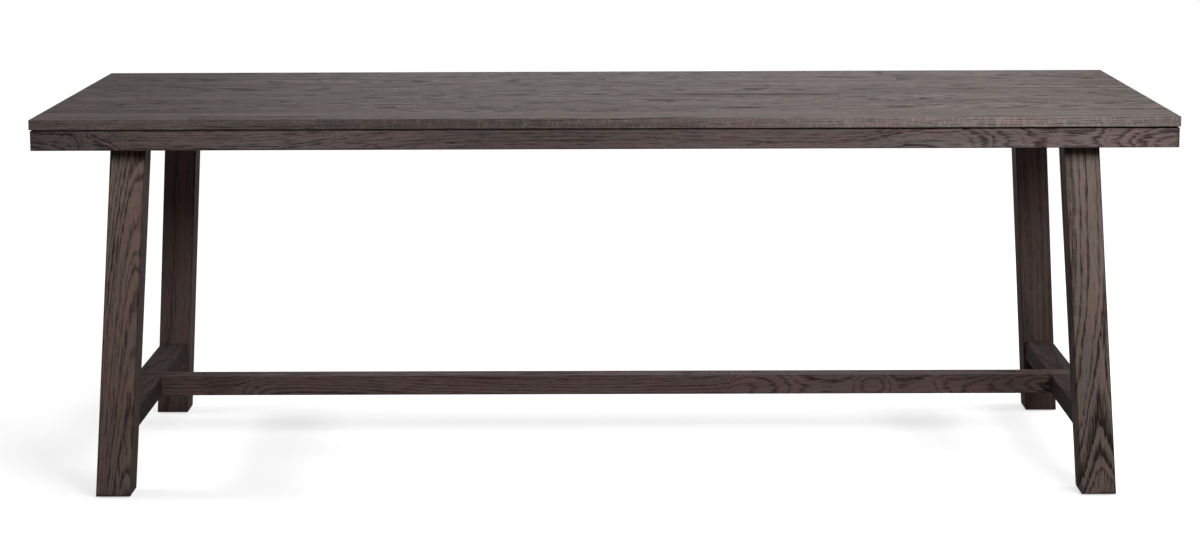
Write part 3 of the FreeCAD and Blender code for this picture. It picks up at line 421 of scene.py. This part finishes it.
oak_board("front_apron", RIGHT, -BACK, APRON_LIGHT, APRON_DARK, ring=0.0058, waver=0.0030, seed=5.2,
          heart_across=[(x, across) for x, across, _ in FRONT_APRON_HEART],
          heart_depth=[(x, depth) for x, _, depth in FRONT_APRON_HEART],
          feather=1.3, figure=FRONT_APRON_FIGURE, streaks=0.6, tone_and_light=FRONT_APRON_TONE_AND_LIGHT,
          painted_side_shading=(1, REBATE, REBATE_PAINTED_SHADE), arris_darkening=0.5)
oak_board("back_apron", -RIGHT, BACK, APRON_LIGHT, APRON_DARK, ring=0.0050, waver=0.0024, seed=11.3,
          heart_across=-0.006, dip=0.02, tone_and_light=1.01, painted_side_shading=(1, REBATE, REBATE_PAINTED_SHADE))
for end, side_x, seed in (("left", -1, 17.9), ("right", 1, 23.6)):
    oak_board(f"{end}_apron", side_x * BACK, side_x * RIGHT, APRON_LIGHT, APRON_DARK, ring=0.0050,
              waver=0.0022, seed=seed, heart_across=0.005, heart_depth=-0.05, dip=0.018, tone_and_light=1.01,
              painted_side_shading=(1, REBATE, -0.61))

# Legs: four oak posts, nearly square, that lean inwards as they rise, along the table and across it. Each
# is cut from one piece, with its arrises eased, and the lower ends are cut level for the floor. Along each
# leg, painted shade darkens it towards the foot and painted light lightens it towards the top, and painted
# shade darkens the inner face of the front left leg.
LEG_WIDTH = 0.068
LEG_DEPTH = 0.077
LEGS = {
    "front_left": dict(
        light=(0.212, 0.150, 0.128), dark=(0.050, 0.033, 0.030), ring=0.0035, waver=0.0010,
        heart_across=-0.028,
        heart_depth=[(-0.364, -0.012), (-0.25, -0.018), (-0.1, -0.023), (0.05, -0.029), (0.2, -0.037),
                     (0.3, -0.043), (0.364, -0.046)],
        feather=0.7, figure=0.9, streaks=0.55, tone_and_light=[(-0.364, 0.7), (0.0, 0.95), (0.364, 1.18)],
        painted_side_shading=(-1, SIDE_FACE, -0.48)),
    "front_right": dict(
        light=(0.146, 0.109, 0.093), dark=(0.023, 0.016, 0.0148), ring=0.0160, waver=0.0036,
        heart_depth=0.0304,
        heart_across=[(-0.364, -0.008), (-0.2, -0.010), (-0.1, -0.018), (0.05, -0.034), (0.2, -0.045),
                      (0.364, -0.052)],
        taper=[(-0.364, 0.0), (-0.2, 0.05), (-0.1, 0.064), (0.05, 0.068), (0.2, 0.062), (0.364, 0.056)],
        band=1.05, feather=0.9, figure=1.2, streaks=0.36, tone_and_light=[(-0.364, 0.82), (0.0, 0.95), (0.364, 1.08)]),
    "back_left": dict(
        light=(0.143, 0.097, 0.087), dark=(0.049, 0.033, 0.030), ring=0.0048, waver=0.0018,
        heart_across=0.030, heart_depth=-0.040, figure=0.65, streaks=0.38,
        tone_and_light=[(-0.364, 0.52), (-0.27, 0.58), (-0.2, 0.8), (0.0, 0.88), (0.2, 1.0), (0.364, 1.25)]),
    "back_right": dict(
        light=(0.134, 0.092, 0.081), dark=(0.049, 0.032, 0.030), ring=0.0050, waver=0.0018,
        heart_across=0.025, heart_depth=-0.050, figure=0.5, streaks=0.32,
        tone_and_light=[(-0.364, 0.68), (-0.27, 0.72), (-0.2, 0.79), (0.0, 0.85), (0.2, 0.97), (0.364, 1.25)]),
}
for number, (name, oak) in enumerate(LEGS.items()):
    low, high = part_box(f"{name}_leg")
    width, depth, height = high - low
    lean_x = math.copysign((width - LEG_WIDTH) / height, -low.x)
    lean_y = math.copysign((depth - LEG_DEPTH) / height, -low.y)
    upward = Vector((lean_x, lean_y, 1.0))
    half = Vector((upward.length * height, LEG_WIDTH / math.hypot(1.0, lean_x),
                   LEG_DEPTH / math.hypot(1.0, lean_y))) / 2
    oak_board(f"{name}_leg", upward, -BACK, seed=61.0 + 4.3 * number, arris_darkening=0.5, sheen=0.005,
              half=half, **oak)

# Cross bars and top rails: an oak bar low down and a rail under the top join the front and back leg of
# each trestle. Both are tenoned between the legs, and the rail is bolted up into the top. Painted shade
# darkens the inner side of each cross bar, the left one much more than the right.
BAR_LIGHT = (0.076, 0.058, 0.056)
BAR_DARK = (0.022, 0.016, 0.016)
BAR_TONE = [(-0.4, 0.9), (0.0, 0.94), (0.4, 0.88)]
for end, side_x, inner_side_shade in (("left", -1, -0.54), ("right", 1, -0.09)):
    oak_board(f"{end}_cross_bar", BACK, UP, BAR_LIGHT, BAR_DARK, ring=0.005, waver=0.002, seed=83.0 + side_x,
              heart_across=0.01, heart_depth=-0.045, dip=0.012, figure=0.6, tone_and_light=BAR_TONE,
              painted_side_shading=(side_x, SIDE_FACE, inner_side_shade), arris_darkening=0.3, sheen=0.004)
    oak_board(f"{end}_top_rail", BACK, -UP, BAR_LIGHT, BAR_DARK, ring=0.005, waver=0.002, seed=89.0 + side_x,
              heart_across=-0.01, heart_depth=-0.05, dip=0.012, sheen=0.004)

# Stretcher: one long oak bar between the two trestles, stained and lacquered. It is lapped flush into
# the cross bars and held there by a bolt from below.
STRETCHER_LIGHT = (0.116, 0.077, 0.071)
STRETCHER_DARK = (0.034, 0.022, 0.021)
# The stretcher's tone along it is mostly painted shade: darker at both ends, against the cross bars, and in
# bands near the left end.
STRETCHER_TONE_AND_SHADE = [(-0.986, 0.45), (-0.93, 0.78), (-0.87, 0.9), (-0.81, 0.72), (-0.77, 0.9), (-0.7, 1.0),
                  (-0.6, 0.98), (0.0, 0.87), (0.5, 0.88), (0.9, 0.88), (0.986, 0.62)]
# The heart of the bar's tree, as x, across and depth.
STRETCHER_HEART = [
    (-0.986, -0.037, 0.0), (-0.85, -0.038, -0.001), (-0.8, -0.015, -0.014), (-0.74, -0.016, -0.005),
    (-0.65, -0.022, 0.005), (-0.55, -0.024, 0.006), (-0.42, -0.029, 0.004), (-0.3, -0.034, 0.002),
    (-0.1, -0.037, 0.0), (0.09, -0.039, 0.003), (0.25, -0.024, -0.005), (0.31, -0.006, -0.009),
    (0.36, -0.004, -0.015), (0.43, -0.005, -0.026), (0.49, -0.006, -0.028), (0.557, -0.002, -0.018),
    (0.62, -0.006, -0.028), (0.705, 0.0, -0.021), (0.763, -0.013, -0.013), (0.814, -0.002, -0.008),
    (0.876, 0.0, 0.001), (0.93, -0.007, 0.007), (0.986, -0.010, 0.010),
]
oak_board("stretcher", RIGHT, -BACK, STRETCHER_LIGHT, STRETCHER_DARK, ring=0.0050, waver=0.0020, seed=97.3,
          heart_across=[(x, across) for x, across, _ in STRETCHER_HEART],
          heart_depth=[(x, depth) for x, _, depth in STRETCHER_HEART],
          feather=0.8, figure=1.1, streaks=0.45, tone_and_light=STRETCHER_TONE_AND_SHADE, arris_darkening=0.3)

# Dowels: turned beech pegs, raw and glued, that line up the corners of the apron frame. They show only
# inside the joint.
BEECH_PALE = (0.66, 0.47, 0.30, 1.0)
BEECH_DARK = (0.52, 0.35, 0.21, 1.0)
peg, tree, shader, place = bare_material("dowel_beech_peg")
fleck = cloud(tree, stretch(tree, place, 60.0, 700.0, 700.0), 3.0)
tree.links.new(tint(tree, rise(tree, fleck, 0.3, 0.7), BEECH_PALE, BEECH_DARK), shader["Base Color"])
tree.links.new(rise(tree, fleck, 0.2, 0.8, 0.55, 0.75), shader["Roughness"])
dress("apron_dowels", peg)

# Brackets, screws, bolts and washers: bright zinc plated steel. Angle brackets and screws hold the apron
# to the top, and bolts with washers hold the rails and the laps of the stretcher.
ZINC_PALE = (0.62, 0.63, 0.65, 1.0)
ZINC_DARK = (0.48, 0.49, 0.50, 1.0)
zinc, tree, shader, place = bare_material("zinc_plated_steel")
spangle = cloud(tree, stretch(tree, place, 260.0, 260.0, 260.0), 3.0)
brushed = cloud(tree, stretch(tree, place, 90.0, 2600.0, 2600.0), 2.0)
shader["Metallic"].default_value = 1.0
tree.links.new(tint(tree, rise(tree, spangle, 0.3, 0.7), ZINC_PALE, ZINC_DARK), shader["Base Color"])
tree.links.new(rise(tree, calc(tree, "ADD", spangle, brushed), 0.6, 1.4, 0.28, 0.5), shader["Roughness"])
bump = add(tree, "Bump", {"Strength": 0.2, "Distance": 0.0001, "Height": brushed})
tree.links.new(bump.outputs[0], shader["Normal"])
for node in ("apron_brackets", "bracket_screws", "corner_block_screws", "batten_screws", "rail_bolts",
             "rail_washers", "stretcher_bolts", "stretcher_washers"):
    dress(node, zinc)

# Threaded inserts: zinc plated steel with a yellow passivation, driven into the top and the stretcher to
# take the bolts.
INSERT_YELLOW = (0.60, 0.52, 0.32, 1.0)
INSERT_GREY = (0.46, 0.44, 0.36, 1.0)
insert, tree, shader, place = bare_material("yellow_zinc_insert")
bloom = cloud(tree, stretch(tree, place, 180.0, 180.0, 180.0), 3.0)
shader["Metallic"].default_value = 1.0
tree.links.new(tint(tree, rise(tree, bloom, 0.3, 0.7), INSERT_YELLOW, INSERT_GREY), shader["Base Color"])
tree.links.new(rise(tree, bloom, 0.2, 0.8, 0.3, 0.5), shader["Roughness"])
for node in ("rail_inserts", "stretcher_inserts"):
    dress(node, insert)

# Foot glides: black plastic discs, each moulded in one piece with a stem. The stem is pushed into the
# bottom of a leg, and the disc rests on the floor.
GLIDE_BLACK = (0.022, 0.021, 0.020, 1.0)
GLIDE_SCUFFED = (0.06, 0.057, 0.053, 1.0)
glide, tree, shader, place = bare_material("black_glide_plastic")
pebble = cloud(tree, stretch(tree, place, 1400.0, 1400.0, 1400.0), 2.0)
scuff = cloud(tree, stretch(tree, place, 120.0, 120.0, 120.0), 4.0, 0.65)
tree.links.new(tint(tree, rise(tree, scuff, 0.5, 0.8), GLIDE_BLACK, GLIDE_SCUFFED), shader["Base Color"])
tree.links.new(rise(tree, scuff, 0.3, 0.8, 0.5, 0.75), shader["Roughness"])
bump = add(tree, "Bump", {"Strength": 0.3, "Distance": 0.0001, "Height": pebble})
tree.links.new(bump.outputs[0], shader["Normal"])
dress("foot_glides", glide)

# Floor: a plain white sheet that takes the table's soft shadow. Seen by the camera or in a reflection it
# glows white, less so near the table, where the lamps make up the rest and the shadow shows.
FLOOR_HALF = 40.0
FLOOR_GREY = (0.22, 0.22, 0.22, 1.0)
FLOOR_PALE = (0.8, 0.8, 0.8, 1.0)
SHADOW_REACH = (1.3, 2.6)
FLOOR_GLOW = (0.63, 0.95)
WHITE = (1.0, 1.0, 1.0, 1.0)


def looked_at(tree):
    """1 where the camera looks, straight or in a reflection, and 0 where light only passes on."""
    ray = add(tree, "LightPath").outputs
    mirrored = calc(tree, "MAXIMUM", ray["Is Glossy Ray"], ray["Is Transmission Ray"])
    return calc(tree, "MAXIMUM", ray["Is Camera Ray"], mirrored)


grid = bmesh.new()
bmesh.ops.create_grid(grid, x_segments=1, y_segments=1, size=FLOOR_HALF)
floor_mesh = bpy.data.meshes.new("floor")
grid.to_mesh(floor_mesh)
grid.free()
floor = bpy.data.objects.new("floor", floor_mesh)
bpy.context.scene.collection.objects.link(floor)
sheet, tree, _, place = bare_material("white_floor")
seen = looked_at(tree)
matt = add(tree, "BsdfDiffuse", {"Color": tint(tree, seen, FLOOR_GREY, FLOOR_PALE)})
away = add(tree, "VectorMath", {0: place}, operation="LENGTH").outputs["Value"]
white = calc(tree, "MULTIPLY", seen, rise(tree, away, *SHADOW_REACH, *FLOOR_GLOW))
glow = add(tree, "Emission", {"Color": WHITE, "Strength": white})
both = add(tree, "AddShader", {0: matt.outputs[0], 1: glow.outputs[0]})
tree.links.new(both.outputs[0], tree.nodes["Material Output"].inputs["Surface"])
tree.nodes.remove(tree.nodes["Principled BSDF"])
floor_mesh.materials.append(sheet)

# Light: a dim room that looks white, and six soft boxes. The strongest stands in front towards the
# table's right end, one hangs above, two stand behind, high and low, and one lights each end.
ROOM_LIGHT = 0.09
room = bpy.data.worlds.new("studio")
bpy.context.scene.world = room
room.use_nodes = True
tree = room.node_tree
backdrop = tree.nodes["Background"].inputs
backdrop["Color"].default_value = WHITE
strength = calc(tree, "MULTIPLY_ADD", looked_at(tree), 1.0 - ROOM_LIGHT, ROOM_LIGHT)
tree.links.new(strength, backdrop["Strength"])


def soft_box(name, place, aim, size, power, spread):
    """A rectangular lamp with a grid that keeps its light within an angle. The camera doesn't see it."""
    lamp = bpy.data.lights.new(name, "AREA")
    lamp.shape = "RECTANGLE"
    lamp.size, lamp.size_y = size
    lamp.energy = power
    lamp.spread = math.radians(spread)
    made = bpy.data.objects.new(name, lamp)
    made.location = place
    made.rotation_euler = (Vector(aim) - Vector(place)).to_track_quat("-Z", "Y").to_euler()
    made.visible_camera = False
    bpy.context.scene.collection.objects.link(made)


soft_box("front_soft_box", (1.3, -2.9, 1.7), aim=(0.3, -0.4, 1.15), size=(1.8, 0.7), power=28.0, spread=90.0)
soft_box("top_soft_box", (1.5, 0.0, 2.6), aim=(0.5, 0.0, 0.75), size=(2.0, 1.4), power=16.0, spread=140.0)
soft_box("back_soft_box", (0.2, 3.4, 1.3), aim=(0.2, 0.4, 0.5), size=(2.6, 0.5), power=7.4, spread=100.0)
soft_box("low_back_soft_box", (0.2, 3.4, 0.55), aim=(0.2, 0.4, 0.4), size=(2.6, 0.3), power=6.5,
         spread=100.0)
soft_box("left_soft_box", (-3.2, 0.0, 1.3), aim=(-1.1, 0.0, 0.4), size=(1.4, 0.3), power=5.0, spread=80.0)
soft_box("right_soft_box", (3.2, 0.0, 1.3), aim=(1.1, 0.0, 0.4), size=(1.4, 0.3), power=5.0, spread=80.0)

# Camera: a long lens about 0.6 m higher than the table top and 6 m in front of the table's middle. It
# looks down by 9 degrees, square to the front but for a fraction of a degree, and has no shift.
CAMERA_PLACE = (0.0189, -6.1136, 1.3696)
LOOK_DOWN = 0.16286
TURN_LEFT = 0.00498
TILT = -0.00381
lens = bpy.data.cameras.new("camera")
lens.sensor_fit = "HORIZONTAL"
lens.sensor_width = 36.0
lens.lens = 89.119
lens.clip_end = 200.0
camera = bpy.data.objects.new("camera", lens)
bpy.context.scene.collection.objects.link(camera)
look = Euler((math.pi / 2 - LOOK_DOWN, 0.0, TURN_LEFT)).to_matrix() @ Matrix.Rotation(TILT, 3, "Z")
camera.matrix_world = Matrix.Translation(CAMERA_PLACE) @ look.to_4x4()
bpy.context.scene.camera = camera
bpy.context.scene.view_settings.view_transform = "Standard"
